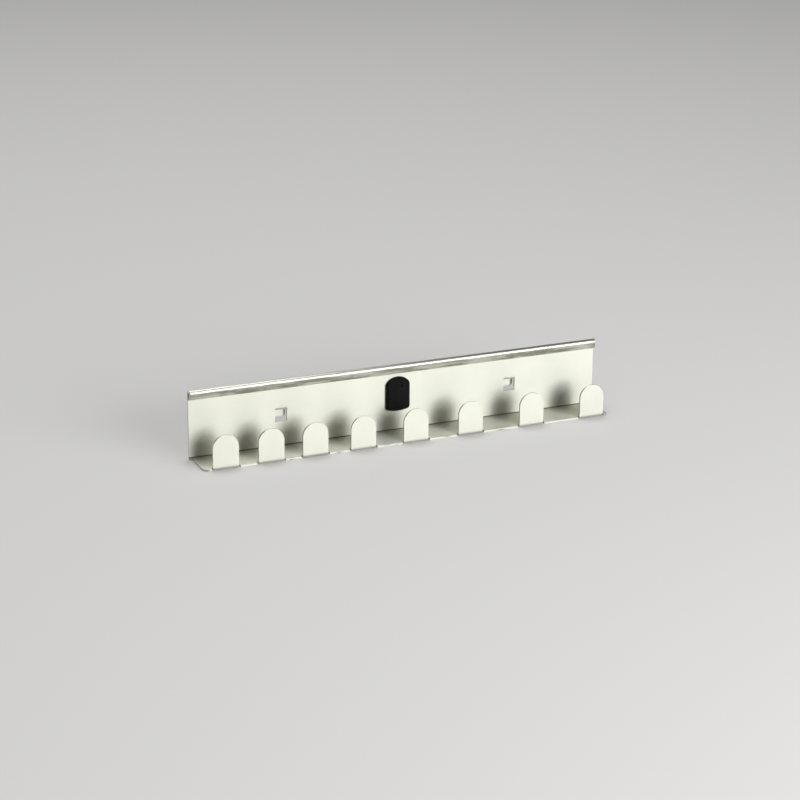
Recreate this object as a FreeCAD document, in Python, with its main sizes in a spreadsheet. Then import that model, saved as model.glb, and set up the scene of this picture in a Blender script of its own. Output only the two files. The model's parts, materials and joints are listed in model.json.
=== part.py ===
import FreeCAD, Part
import math
import os
import Sketcher

# Socket holder: a folded steel strip with a row of upright tabs, which hangs in square mounting holes.
# Millimetres. X runs along the strip, to the right as it is used, -Y faces the user and +Z is up.
# Every sketch measures Z from the underside of the shelf. The finished bodies are then lowered, so
# that the origin is on the plate's rear face, midway between the hooks, where they bear on their holes.

# Driving dimensions: alias, size, what it is.
DIMENSIONS = [
    ("length", 269.0, "strip, end to end"),
    ("height", 44.0, "underside of the shelf to the top of the hem"),
    ("depth", 23.6, "rear face of the plate to the front of the tabs"),
    ("sheet", 1.2, "thickness of the steel"),
    ("bend", 0.8, "inside radius of every bend"),
    ("hem_bend", 0.7, "inside radius of the hem"),
    ("hem_lean", 9.0, "degrees that the hem is folded past a half turn"),
    ("hem_leg", 3.5, "flat part of the hem"),
    ("left_round", 4.0, "radius of the shelf's left front corner"),
    ("right_round", 2.0, "radius of the shelf's right front corner"),
    ("shelf_inset", 1.7, "left end of the plate to the left end of the shelf"),
    ("tab_width", 16.2, "tab, to pass a 12.7 mm square hole from corner to corner"),
    ("tab_height", 21.6, "underside of the shelf to the top of a tab"),
    ("relief", 1.0, "width of the slot beside each tab's root"),
    ("first_tab", 15.6, "left end to the first tab's middle"),
    ("step_1", 28.6, "first tab to second"),
    ("step_2", 28.1, "second tab to third"),
    ("step_3", 31.0, "third tab to fourth"),
    ("step_4", 34.5, "fourth tab to fifth"),
    ("step_5", 36.5, "fifth tab to sixth"),
    ("step_6", 41.5, "sixth tab to seventh"),
    ("step_7", 41.7, "seventh tab to eighth"),
    ("hole_pitch", 38.0, "spacing of the mounting holes"),
    ("mount_hole", 10.0, "side of a square mounting hole"),
    ("mount_gap", 2.1, "room behind the plate for what it hangs on"),
    ("hang_height", 23.8, "underside of the shelf to where the hooks bear"),
    ("hook_width", 7.6, "hook, across"),
    ("tongue", 9.0, "flat length of the tongue that each hook is folded from"),
    ("hook_round", 1.5, "corner radius at the end of each hook"),
    ("aperture", 10.2, "side of the square hole that the clip's plug passes"),
    ("head_width", 15.5, "clip head, across"),
    ("head_top", 35.8, "underside of the shelf to the top of the clip's head"),
    ("head_foot", 14.9, "underside of the shelf to the corners of the head's foot"),
    ("head_depth", 2.8, "clip head, front to back"),
    ("arch_round", 9.6, "radius over the top of the head"),
    ("shoulder_round", 4.5, "radius of the head's shoulders"),
    ("foot_round", 25.0, "radius of the head's bulging foot"),
    ("foot_cut", 0.9, "cut corners of the head's foot"),
    ("bevel", 1.1, "bevel round the head's front"),
    ("crown", 0.5, "bulge of the head's front across its width"),
    ("dimple_radius", 0.9, "gate dimple in the head's front"),
    ("dimple_depth", 0.8, "gate dimple, from the top of the crown"),
    ("dimple_side", 1.5, "gate dimple, to the right of the middle"),
    ("dimple_rise", 1.5, "gate dimple above the plug's middle"),
    ("plug", 9.6, "side of the square snap plug"),
    ("plug_leg", 2.7, "thickness of each leg of the plug"),
    ("plug_root", 0.6, "solid part of the plug behind the plate"),
    ("plug_reach", 7.0, "rear face of the plate to the tip of the plug"),
    ("plug_width", 9.2, "plug, across"),
    ("barb", 0.8, "step of each barb"),
    ("barb_lead", 1.4, "how far each barb's nose tapers in past the leg"),
]
TAB_COUNT = 8

# Sizes that follow from the driving ones, as expressions for the sketches.
BEND_OUT = "(Dims.bend + Dims.sheet)"
HEM_OUT = "(Dims.hem_bend + Dims.sheet)"
HALF_TAB = "(Dims.tab_width / 2)"
ROOT = f"(Dims.depth - {BEND_OUT})"
PLUG_MIDDLE = "(Dims.hang_height + Dims.mount_hole / 2)"


def make_sheet(doc):
    """The spreadsheet of driving dimensions, one row each."""
    sheet = doc.addObject("Spreadsheet::Sheet", "Dims")
    for row, (alias, size, meaning) in enumerate(DIMENSIONS, start=1):
        sheet.set(f"A{row}", alias)
        sheet.set(f"B{row}", str(size))
        sheet.setAlias(f"B{row}", alias)
        sheet.set(f"C{row}", meaning)
    doc.recompute()
    return sheet


def make_body(doc, name):
    """A body that is lowered by the hanging height."""
    body = doc.addObject("PartDesign::Body", name)
    body.Label = name
    body.setExpression("Placement.Base.z", "-Dims.hang_height")
    return body


def origin_plane(body, role):
    """One of the body's own origin planes."""
    return next(item for item in body.Origin.OriginFeatures if item.Role == role)


def make_sketch(body, name, role, offset=None):
    """An empty sketch on an origin plane, moved along the plane's normal by an offset."""
    sketch = body.newObject("Sketcher::SketchObject", name)
    sketch.AttachmentSupport = [(origin_plane(body, role), "")]
    sketch.MapMode = "FlatFace"
    if offset:
        sketch.setExpression("AttachmentOffset.Base.z", offset)
    return sketch


def hold(sketch, kind, geometry, point, expression):
    """Hold one coordinate of a sketch point at an expression, measured from the sketch's origin."""
    value = float(sketch.evalExpression(expression))
    index = sketch.addConstraint(Sketcher.Constraint(kind, -1, 1, geometry, point, value))
    sketch.setExpression(f"Constraints[{index}]", expression)


def arc_between(start, end, radius, turn):
    """The short arc from start to end: turn is 1 for anticlockwise and -1 for clockwise."""
    chord = end - start
    rise = math.sqrt(radius ** 2 - (chord.Length / 2) ** 2)
    left = FreeCAD.Vector(-chord.y, chord.x, 0).normalize()
    centre = (start + end) * 0.5 + left * (turn * rise)
    first, last = (start, end) if turn > 0 else (end, start)
    angles = [math.atan2(point.y - centre.y, point.x - centre.x) for point in (first, last)]
    circle = Part.Circle(centre, FreeCAD.Vector(0, 0, 1), radius)
    return Part.ArcOfCircle(circle, angles[0], angles[1])


def outline(sketch, corners):
    """A closed outline. Each corner is (x, y) where a line arrives, or (x, y, radius, turn) for an arc."""
    places = [FreeCAD.Vector(*(float(sketch.evalExpression(size)) for size in corner[:2]), 0)
              for corner in corners]
    segments = []
    for number, corner in enumerate(corners):
        start, end = places[number - 1], places[number]
        if len(corner) == 2:
            geometry = sketch.addGeometry(Part.LineSegment(start, end))
            leaves, arrives = 1, 2
        else:
            radius, turn = corner[2:]
            shape = arc_between(start, end, float(sketch.evalExpression(radius)), turn)
            geometry = sketch.addGeometry(shape)
            index = sketch.addConstraint(Sketcher.Constraint("Radius", geometry, shape.Radius))
            sketch.setExpression(f"Constraints[{index}]", radius)
            leaves, arrives = (1, 2) if turn > 0 else (2, 1)
        segments.append((geometry, leaves, arrives))
    for number, corner in enumerate(corners):
        geometry, leaves, arrives = segments[number]
        before, _, before_end = segments[number - 1]
        sketch.addConstraint(Sketcher.Constraint("Coincident", before, before_end, geometry, leaves))
        hold(sketch, "DistanceX", geometry, arrives, corner[0])
        hold(sketch, "DistanceY", geometry, arrives, corner[1])


def rectangle(sketch, left, right, low, high):
    """A closed rectangle between four expressions."""
    outline(sketch, [(left, low), (right, low), (right, high), (left, high)])


def add_feature(body, kind, name, sketch, length, side="One side", reverse=False):
    """A pad or pocket of a sketch, which has to change the body's volume."""
    before = 0.0 if body.Shape.isNull() else body.Shape.Volume
    feature = body.newObject(kind, name)
    feature.Profile = sketch
    feature.SideType = side
    feature.Reversed = reverse
    feature.setExpression("Length", length)
    body.Document.recompute()
    if abs(body.Shape.Volume - before) < 1e-3:
        raise RuntimeError(f"{name} changes nothing")
    return feature


def add_dressing(body, kind, name, edges, size, expression):
    """A fillet or chamfer of the body's edges that the test picks."""
    tip = body.Tip
    picked = [f"Edge{number}" for number, edge in enumerate(tip.Shape.Edges, start=1) if edges(edge)]
    feature = body.newObject(kind, name)
    feature.Base = (tip, picked)
    feature.setExpression(size, expression)
    body.Document.recompute()
    return feature


def tab_middle(number):
    """Where a tab's middle is along the strip, with tabs counted from 1 at the left."""
    steps = "".join(f" + Dims.step_{step}" for step in range(1, number))
    return f"-Dims.length / 2 + Dims.first_tab{steps}"


def fold_channel(body):
    """Hem, plate, shelf and front wall as one folded section, carried the whole length."""
    centre = f"Dims.height - {HEM_OUT}"
    lean = ("cos(Dims.hem_lean)", "sin(Dims.hem_lean)")
    leg = ("Dims.hem_leg * sin(Dims.hem_lean)", "Dims.hem_leg * cos(Dims.hem_lean)")
    section = make_sketch(body, "section", "YZ_Plane")
    outline(section, [
        ("-Dims.depth", "Dims.tab_height"),
        ("-Dims.depth", BEND_OUT),
        (f"-{ROOT}", "0", BEND_OUT, 1),
        (f"-{BEND_OUT}", "0"),
        ("0", BEND_OUT, BEND_OUT, 1),
        ("0", centre),
        (f"-{HEM_OUT}", "Dims.height", HEM_OUT, 1),
        (f"-{HEM_OUT} * (1 + {lean[0]})", f"{centre} - {HEM_OUT} * {lean[1]}", HEM_OUT, 1),
        (f"-{HEM_OUT} * (1 + {lean[0]}) + {leg[0]}",
         f"{centre} - {HEM_OUT} * {lean[1]} - {leg[1]}"),
        (f"-{HEM_OUT} - Dims.hem_bend * {lean[0]} + {leg[0]}",
         f"{centre} - Dims.hem_bend * {lean[1]} - {leg[1]}"),
        (f"-{HEM_OUT} - Dims.hem_bend * {lean[0]}", f"{centre} - Dims.hem_bend * {lean[1]}"),
        (f"-{HEM_OUT}", "Dims.height - Dims.sheet", "Dims.hem_bend", -1),
        ("-Dims.sheet", centre, "Dims.hem_bend", -1),
        ("-Dims.sheet", BEND_OUT),
        (f"-{BEND_OUT}", "Dims.sheet", "Dims.bend", -1),
        (f"-{ROOT}", "Dims.sheet"),
        ("-Dims.depth + Dims.sheet", BEND_OUT, "Dims.bend", -1),
        ("-Dims.depth + Dims.sheet", "Dims.tab_height"),
    ])
    add_feature(body, "PartDesign::Pad", "channel", section, "Dims.length", "Symmetric")


def part_tabs(body):
    """Cut the front wall and its bend away, except at the round-topped tabs."""
    front = make_sketch(body, "between_tabs", "XZ_Plane", "Dims.depth")
    rectangle(front, "-Dims.length / 2 - Dims.sheet", "Dims.length / 2 + Dims.sheet",
              "-2 * Dims.sheet", "Dims.tab_height + 2 * Dims.sheet")
    shoulder = f"Dims.tab_height - {HALF_TAB}"
    for number in range(1, TAB_COUNT + 1):
        middle = tab_middle(number)
        outline(front, [
            (f"{middle} - {HALF_TAB}", "-Dims.sheet"),
            (f"{middle} + {HALF_TAB}", "-Dims.sheet"),
            (f"{middle} + {HALF_TAB}", shoulder),
            (middle, "Dims.tab_height", HALF_TAB, 1),
            (f"{middle} - {HALF_TAB}", shoulder, HALF_TAB, 1),
        ])
    add_feature(body, "PartDesign::Pocket", "tabs", front, BEND_OUT)


def fill_shelf_edge(body):
    """The shelf's own edge, out to the tabs' front face, with a relief slot beside each tab."""
    plan = make_sketch(body, "shelf_edge", "XY_Plane")
    side = f"({HALF_TAB} + Dims.relief)"
    starts = ["-Dims.length / 2"] + [f"{tab_middle(n)} + {side}" for n in range(1, TAB_COUNT + 1)]
    ends = [f"{tab_middle(n)} - {side}" for n in range(1, TAB_COUNT + 1)] + ["Dims.length / 2"]
    for start, end in zip(starts, ends):
        rectangle(plan, start, end, "-Dims.depth", f"-{ROOT}")
    add_feature(body, "PartDesign::Pad", "shelf_front", plan, "Dims.sheet")


def round_shelf_ends(body):
    """Set the shelf's left end in from the plate's, and round the shelf's two front corners in plan."""
    plan = make_sketch(body, "shelf_ends", "XY_Plane")
    front = "-Dims.depth"
    left = "(-Dims.length / 2 + Dims.shelf_inset)"
    right = "Dims.length / 2"
    outline(plan, [
        ("-Dims.length / 2 - Dims.sheet", f"-{BEND_OUT}"),
        ("-Dims.length / 2 - Dims.sheet", f"{front} - Dims.sheet"),
        (f"{left} + Dims.left_round", f"{front} - Dims.sheet"),
        (f"{left} + Dims.left_round", front),
        (left, f"{front} + Dims.left_round", "Dims.left_round", -1),
        (left, f"-{BEND_OUT}"),
    ])
    outline(plan, [
        (right, front),
        (right, f"{front} + Dims.right_round"),
        (f"{right} - Dims.right_round", front, "Dims.right_round", -1),
    ])
    add_feature(body, "PartDesign::Pocket", "trimmed_ends", plan, "Dims.sheet", reverse=True)


def cut_plate(body):
    """The two windows that the hooks are lanced from, and the square hole for the clip."""
    front = make_sketch(body, "openings", "XZ_Plane")
    top = f"Dims.hang_height + {BEND_OUT}"
    for sign in ("-", ""):
        middle = f"{sign}2 * Dims.hole_pitch"
        rectangle(front, f"{middle} - Dims.hook_width / 2", f"{middle} + Dims.hook_width / 2",
                  f"{top} - Dims.tongue", top)
    rectangle(front, "-Dims.aperture / 2", "Dims.aperture / 2",
              f"{PLUG_MIDDLE} - Dims.aperture / 2", f"{PLUG_MIDDLE} + Dims.aperture / 2")
    add_feature(body, "PartDesign::Pocket", "plate_openings", front, "Dims.sheet", reverse=True)


def fold_hooks(body):
    """Each window's tongue, folded back and then down behind the plate."""
    back = "(Dims.mount_gap - Dims.bend)"
    folded = f"(pi * (Dims.bend + Dims.sheet / 2) + {back} - Dims.bend)"
    knee = "Dims.hang_height - Dims.bend"
    tip = f"{knee} - (Dims.tongue - {folded})"
    top = f"Dims.hang_height + {BEND_OUT}"
    hooks = []
    for name, sign in (("left_hook", "-"), ("right_hook", "")):
        section = make_sketch(body, f"{name}_section", "YZ_Plane", f"{sign}2 * Dims.hole_pitch")
        outline(section, [
            ("-Dims.sheet", top),
            ("Dims.bend", "Dims.hang_height", BEND_OUT, 1),
            (back, "Dims.hang_height"),
            ("Dims.mount_gap", knee, "Dims.bend", -1),
            ("Dims.mount_gap", tip),
            ("Dims.mount_gap + Dims.sheet", tip),
            ("Dims.mount_gap + Dims.sheet", knee),
            (back, "Dims.hang_height + Dims.sheet", BEND_OUT, 1),
            ("Dims.bend", "Dims.hang_height + Dims.sheet"),
            ("0", top, "Dims.bend", -1),
        ])
        add_feature(body, "PartDesign::Pad", name, section, "Dims.hook_width", "Symmetric")
    tip_height = float(body.Tip.evalExpression(tip))
    add_dressing(body, "PartDesign::Fillet", "hook_ends",
                 lambda edge: is_tip_corner(edge, tip_height), "Radius", "Dims.hook_round")


def is_tip_corner(edge, height):
    """Whether an edge is one of the short ones across the sheet at a hook's end."""
    box = edge.BoundBox
    return box.YMin > 0 and box.YLength > 0.1 and box.XLength < 0.1 and abs(box.ZMin - height) < 0.01 \
        and box.ZLength < 0.01


def mould_head(body):
    """The clip's head: an arched plate with a bevelled, slightly crowned front."""
    front = make_sketch(body, "head_outline", "XZ_Plane", "Dims.sheet")
    half = "Dims.head_width / 2"
    inset = f"({half} - Dims.shoulder_round)"
    span = "(Dims.arch_round - Dims.shoulder_round)"
    drop = f"sqrt({span} * {span} - {inset} * {inset})"
    arch_centre = "(Dims.head_top - Dims.arch_round)"
    shoulder = f"{arch_centre} + {drop}"
    meet = (f"Dims.arch_round * {inset} / {span}", f"{arch_centre} + Dims.arch_round * {drop} / {span}")
    outline(front, [
        (f"-{half} + Dims.foot_cut", "Dims.head_foot"),
        (f"{half} - Dims.foot_cut", "Dims.head_foot", "Dims.foot_round", 1),
        (half, "Dims.head_foot + Dims.foot_cut"),
        (half, shoulder),
        (meet[0], meet[1], "Dims.shoulder_round", 1),
        (f"-{meet[0]}", meet[1], "Dims.arch_round", 1),
        (f"-{half}", shoulder, "Dims.shoulder_round", 1),
        (f"-{half}", "Dims.head_foot + Dims.foot_cut"),
    ])
    add_feature(body, "PartDesign::Pad", "head", front, "Dims.head_depth")
    face = -float(body.Tip.evalExpression("Dims.sheet + Dims.head_depth"))
    add_dressing(body, "PartDesign::Chamfer", "head_bevel",
                 lambda edge: edge.BoundBox.YMax < face + 0.01, "Size", "Dims.bevel")
    plan = make_sketch(body, "crown_outline", "XY_Plane")
    reach = "(Dims.head_width / 2 + 1)"
    crown_front = "Dims.sheet + Dims.head_depth"
    radius = f"({reach} * {reach} + Dims.crown * Dims.crown) / (2 * Dims.crown)"
    outline(plan, [
        (f"-{reach}", f"-({crown_front} + 1)"),
        (reach, f"-({crown_front} + 1)"),
        (reach, f"-({crown_front} - Dims.crown)"),
        ("0", f"-({crown_front})", radius, -1),
        (f"-{reach}", f"-({crown_front} - Dims.crown)", radius, -1),
    ])
    add_feature(body, "PartDesign::Pocket", "head_crown", plan, "Dims.height", reverse=True)


def press_dimple(body):
    """The round gate dimple in the head's front."""
    front = make_sketch(body, "dimple_outline", "XZ_Plane", "Dims.sheet + Dims.head_depth")
    circle = Part.Circle(FreeCAD.Vector(0, 0, 0), FreeCAD.Vector(0, 0, 1), 1)
    geometry = front.addGeometry(circle)
    index = front.addConstraint(Sketcher.Constraint("Radius", geometry, 1))
    front.setExpression(f"Constraints[{index}]", "Dims.dimple_radius")
    hold(front, "DistanceX", geometry, 3, "Dims.dimple_side")
    hold(front, "DistanceY", geometry, 3, f"{PLUG_MIDDLE} + Dims.dimple_rise")
    add_feature(body, "PartDesign::Pocket", "dimple", front, "Dims.dimple_depth")


def mould_plug(body):
    """The split snap plug: two legs that spring together, each with a barb."""
    section = make_sketch(body, "plug_section", "YZ_Plane")
    outer = "Dims.plug / 2"
    inner = f"({outer} - Dims.plug_leg)"
    nose = f"({outer} - Dims.barb_lead)"
    barb = f"({outer} + Dims.barb)"
    half = [
        ("Dims.plug_root", inner),
        ("Dims.plug_reach", inner),
        ("Dims.plug_reach", nose),
        ("Dims.mount_gap + Dims.barb", barb),
        ("Dims.mount_gap", barb),
        ("Dims.mount_gap", outer),
        ("-Dims.sheet", outer),
    ]
    upper = [(along, f"{PLUG_MIDDLE} + {rise}") for along, rise in half]
    lower = [(along, f"{PLUG_MIDDLE} - {rise}") for along, rise in reversed(half)]
    outline(section, upper + lower)
    add_feature(body, "PartDesign::Pad", "plug", section, "Dims.plug_width", "Symmetric")


def check_and_export(doc, bodies):
    """Stop on a failed object or a bad shape, then write one file for each body."""
    doc.recompute()
    failed = [item.Name for item in doc.Objects if {"Invalid", "Error"} & set(item.State)]
    if failed:
        raise RuntimeError(f"failed objects: {failed}")
    for body in bodies:
        shape = body.Shape
        if shape.isNull() or not shape.isValid() or len(shape.Solids) != 1:
            raise RuntimeError(f"{body.Label} isn't one valid solid")
    os.makedirs("parts", exist_ok=True)
    for body in bodies:
        body.Shape.exportStep(f"parts/{body.Label}.step")
        print(body.Label, round(body.Shape.Volume), "cubic mm")


def main():
    doc = FreeCAD.newDocument("socket_holder")
    make_sheet(doc)
    strip = make_body(doc, "holder_strip")
    fold_channel(strip)
    part_tabs(strip)
    fill_shelf_edge(strip)
    round_shelf_ends(strip)
    cut_plate(strip)
    fold_hooks(strip)
    clip = make_body(doc, "locking_clip")
    mould_head(clip)
    press_dimple(clip)
    mould_plug(clip)
    check_and_export(doc, [strip, clip])


main()
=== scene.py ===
import json
import math

import bmesh
import bpy
import numpy as np
from mathutils import Matrix, Vector


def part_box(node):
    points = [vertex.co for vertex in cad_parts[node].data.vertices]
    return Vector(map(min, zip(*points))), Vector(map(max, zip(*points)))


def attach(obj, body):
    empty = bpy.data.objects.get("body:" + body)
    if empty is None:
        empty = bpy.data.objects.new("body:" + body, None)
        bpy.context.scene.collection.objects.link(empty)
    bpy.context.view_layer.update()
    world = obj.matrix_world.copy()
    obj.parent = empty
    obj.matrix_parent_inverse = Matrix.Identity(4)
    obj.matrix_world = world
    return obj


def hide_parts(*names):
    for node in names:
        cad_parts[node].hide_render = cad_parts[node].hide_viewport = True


bl_info = {
    "name": "Socket holder",
    "version": (1, 0, 0),
    "blender": (4, 5, 0),
    "location": "3D View > Sidebar > Socket Holder",
    "description": "A folded steel socket holder with its locking clip, on a studio stage",
    "category": "Add Mesh",
}

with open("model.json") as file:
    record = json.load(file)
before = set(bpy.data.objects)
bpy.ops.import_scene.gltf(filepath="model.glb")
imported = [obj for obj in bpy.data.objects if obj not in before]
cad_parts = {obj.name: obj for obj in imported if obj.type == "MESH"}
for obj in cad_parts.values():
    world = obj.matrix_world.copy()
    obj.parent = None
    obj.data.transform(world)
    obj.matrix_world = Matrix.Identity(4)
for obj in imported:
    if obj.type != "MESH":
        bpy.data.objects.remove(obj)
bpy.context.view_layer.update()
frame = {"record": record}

MM = 0.001
STRIP_LOW, STRIP_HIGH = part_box("holder_strip")
CLIP_LOW, CLIP_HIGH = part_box("locking_clip")
PLACES = {mount["name"]: mount["pos_m"] for mount in frame["record"]["mounts"]}
TAB_MIDDLES = [place[0] for name, place in PLACES.items() if name.startswith("socket_tab_")]
TAB_TOP = PLACES["socket_tab_1"][2]
FRONT = STRIP_LOW.y
UNDERSIDE = STRIP_LOW.z
PLUG_MIDDLE = PLACES["lock_plug"][2]
BLANK_MAP = "blank"

# Points nearer than this are one point, and grid lines nearer than this are one line.
WELD, SAME_LINE = 1e-7, 0.001 * MM
# What rounding may add to a distance, and to a number of cells.
LENGTH_SLACK, CELL_SLACK = 1e-9, 1e-6
# Cells of the mesh round a bend, the hem, a hook's bend, a small corner, the shelf's left corner, and a
# tab's top, up and across.
BEND_CELLS, HEM_CELLS, HOOK_CELLS, CORNER_CELLS, SHELF_CORNER_CELLS = 10, 24, 8, 4, 6
TOP_CELLS_UP, TOP_CELLS_ACROSS = 8, 18
# A line over a tab, but for its two sides, is left out where it comes nearer than this to a cut's line.
CLEAR_OF_CUTS = 0.2 * MM
# Points on each arc of the clip head's outline, and their spacing once they are even.
ARC_POINTS = 40
OUTLINE_STEP = 0.35 * MM
# Where the rings over the clip head's back and up its side lie, as shares of the way, and the cells
# between the rings over its front and down its dimple.
BACK_SHARES, SIDE_SHARES = (0.3, 0.7, 1.0), (0.5, 1.0)
FRONT_CELLS, DIMPLE_CELLS = 13, 5
# The crown's arc runs on this far past the head's sides, and the plug starts this deep in the head.
CROWN_MARGIN = 1.0 * MM
PLUG_SUNK = 0.8 * MM
# The last piece of a path, which goes straight on. Its length isn't used.
STRAIGHT_ON = (1.0, 0.0)

# Sides of the round floor.
FLOOR_SIDES = 96
# White with a trace of blue, for the lamps and the room.
DAYLIGHT = (0.965, 0.968, 1.0)
# Name, place, target, width and height of each lamp. Their powers are in the stage's settings.
LAMPS = (
    ("front", (0.5, -1.2, 0.34), (0.0, 0.0, 0.02), 1.1, 0.62),
    ("top", (-0.9, -0.9, 1.9), (0.0, 0.0, 0.0), 1.2, 1.2),
    ("back", (0.0, 0.6, 2.2), (0.0, 0.2, 0.0), 1.6, 1.2),
)


class StripSettings(bpy.types.PropertyGroup):
    """Sizes of the folded strip that the frame doesn't give."""

    sheet: bpy.props.FloatProperty(
        name="Sheet", description="Thickness of the steel", default=1.2 * MM, unit="LENGTH")
    bend: bpy.props.FloatProperty(
        name="Bend", description="Inside radius of the bends", default=0.8 * MM, unit="LENGTH")
    hem_bend: bpy.props.FloatProperty(
        name="Hem bend", description="Inside radius of the hem", default=0.7 * MM, unit="LENGTH")
    hem_lean: bpy.props.FloatProperty(
        name="Hem lean", description="How far past a half turn the hem is folded",
        default=math.radians(9), subtype="ANGLE")
    hem_leg: bpy.props.FloatProperty(
        name="Hem leg", description="Flat part of the hem", default=3.5 * MM, unit="LENGTH")
    shelf_inset: bpy.props.FloatProperty(
        name="Shelf inset", description="Left end of the plate to the left end of the shelf",
        default=1.7 * MM, unit="LENGTH")
    left_round: bpy.props.FloatProperty(
        name="Left round", description="Radius of the shelf's left front corner",
        default=4.0 * MM, unit="LENGTH")
    right_round: bpy.props.FloatProperty(
        name="Right round", description="Radius of the shelf's right front corner",
        default=2.0 * MM, unit="LENGTH")
    tab_width: bpy.props.FloatProperty(
        name="Tab width", description="Width of a tab, twice its top's radius",
        default=16.2 * MM, unit="LENGTH")
    relief: bpy.props.FloatProperty(
        name="Relief", description="Width of the slot beside each tab's root",
        default=1.0 * MM, unit="LENGTH")
    hook_middle: bpy.props.FloatProperty(
        name="Hook middle", description="Middle of the strip to the middle of a hook",
        default=76.0 * MM, unit="LENGTH")
    hook_width: bpy.props.FloatProperty(
        name="Hook width", description="Width of a hook and of its window",
        default=7.6 * MM, unit="LENGTH")
    tongue: bpy.props.FloatProperty(
        name="Tongue", description="Flat length of the tongue that a hook is folded from",
        default=9.0 * MM, unit="LENGTH")
    mount_gap: bpy.props.FloatProperty(
        name="Mount gap", description="Room between the plate and a hook",
        default=2.1 * MM, unit="LENGTH")
    hook_round: bpy.props.FloatProperty(
        name="Hook round", description="Corner radius at a hook's end",
        default=1.5 * MM, unit="LENGTH")
    hook_shear: bpy.props.FloatProperty(
        name="Hook shear", description="Gap that the lancing tool leaves beside a hook",
        default=0.12 * MM, unit="LENGTH")
    aperture: bpy.props.FloatProperty(
        name="Aperture", description="Side of the square hole that the clip's plug passes",
        default=10.2 * MM, unit="LENGTH")
    edge_round: bpy.props.FloatProperty(
        name="Edge round", description="Rounding of the punched edges",
        default=0.16 * MM, unit="LENGTH")
    grid_step: bpy.props.FloatProperty(
        name="Grid step", description="Widest cell of the mesh", default=3.5 * MM, unit="LENGTH")


class ClipSettings(bpy.types.PropertyGroup):
    """Sizes of the moulded clip that the frame doesn't give."""

    arch_round: bpy.props.FloatProperty(
        name="Arch round", description="Radius over the top of the head",
        default=9.6 * MM, unit="LENGTH")
    shoulder_round: bpy.props.FloatProperty(
        name="Shoulder round", description="Radius of the head's shoulders",
        default=4.5 * MM, unit="LENGTH")
    foot_round: bpy.props.FloatProperty(
        name="Foot round", description="Radius of the head's bulging foot",
        default=25.0 * MM, unit="LENGTH")
    foot_cut: bpy.props.FloatProperty(
        name="Foot cut", description="Cut corners of the head's foot",
        default=0.9 * MM, unit="LENGTH")
    bevel: bpy.props.FloatProperty(
        name="Bevel", description="Bevel round the head's front", default=1.1 * MM, unit="LENGTH")
    crown: bpy.props.FloatProperty(
        name="Crown", description="Bulge of the head's front across its width",
        default=0.5 * MM, unit="LENGTH")
    dimple_radius: bpy.props.FloatProperty(
        name="Dimple radius", description="Gate dimple in the head's front",
        default=0.9 * MM, unit="LENGTH")
    dimple_depth: bpy.props.FloatProperty(
        name="Dimple depth", description="Gate dimple, from the top of the crown",
        default=0.8 * MM, unit="LENGTH")
    dimple_side: bpy.props.FloatProperty(
        name="Dimple side", description="Gate dimple, to the right of the middle",
        default=1.5 * MM, unit="LENGTH")
    dimple_rise: bpy.props.FloatProperty(
        name="Dimple rise", description="Gate dimple above the plug's middle",
        default=1.5 * MM, unit="LENGTH")
    plug: bpy.props.FloatProperty(
        name="Plug", description="Height of the square snap plug", default=9.6 * MM, unit="LENGTH")
    plug_width: bpy.props.FloatProperty(
        name="Plug width", description="Snap plug, across", default=9.2 * MM, unit="LENGTH")
    plug_leg: bpy.props.FloatProperty(
        name="Plug leg", description="Thickness of each leg", default=2.7 * MM, unit="LENGTH")
    plug_root: bpy.props.FloatProperty(
        name="Plug root", description="Solid part of the plug behind the plate",
        default=0.6 * MM, unit="LENGTH")
    barb: bpy.props.FloatProperty(
        name="Barb", description="Step of each barb", default=0.8 * MM, unit="LENGTH")
    barb_lead: bpy.props.FloatProperty(
        name="Barb lead", description="How far each barb's nose tapers in past the leg",
        default=1.4 * MM, unit="LENGTH")
    edge_round: bpy.props.FloatProperty(
        name="Edge round", description="Rounding of the moulded edges",
        default=0.25 * MM, unit="LENGTH")


class FinishSettings(bpy.types.PropertyGroup):
    """Colours and gloss of the two materials."""

    steel_colour: bpy.props.StringProperty(
        name="Steel", description="Plated steel, hex sRGB", default="#C7C8BC")
    steel_shade: bpy.props.StringProperty(
        name="Steel shade", description="Cloudy patches of the plating, hex sRGB", default="#BBBCAE")
    # Colour of the dull patches on the hem's leg, and of the painted shade in the crease.
    steel_patches_and_shade: bpy.props.StringProperty(
        name="Steel tarnish", description="Dull patches on the hem and in the crease, hex sRGB",
        default="#5E5B4C")
    steel_roughness: bpy.props.FloatProperty(
        name="Steel roughness", description="Blur of the plating's reflections",
        default=0.45, min=0.0, max=1.0)
    hem_dulling: bpy.props.FloatProperty(
        name="Hem dulling", description="Strength of the dull patches on the hem's leg",
        default=0.6, min=0.0, max=1.0)
    # Painted shade: strength of the dark line painted into the crease, where the bend is shaded.
    crease_painted_shade: bpy.props.FloatProperty(
        name="Crease grime", description="Strength of the dark line in the crease",
        default=0.95, min=0.0, max=1.0)
    hem_polish: bpy.props.FloatProperty(
        name="Hem polish", description="How much sharper the hem's reflections are",
        default=0.17, min=0.0, max=1.0)
    steel_grain: bpy.props.FloatProperty(
        name="Steel grain", description="How much more the reflections blur across the rolling lines",
        default=0.9, min=0.0, max=1.0)
    plastic_colour: bpy.props.StringProperty(
        name="Plastic", description="Moulded plastic, hex sRGB", default="#090A0A")
    plastic_scuff: bpy.props.StringProperty(
        name="Plastic scuff", description="Rubbed patches of the plastic, hex sRGB", default="#101110")
    plastic_roughness: bpy.props.FloatProperty(
        name="Plastic roughness", description="Blur of the plastic's reflections",
        default=0.42, min=0.0, max=1.0)
    plastic_sheen: bpy.props.FloatProperty(
        name="Plastic reflectance", description="Specular level of the plastic",
        default=0.1, min=0.0, max=1.0)


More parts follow.
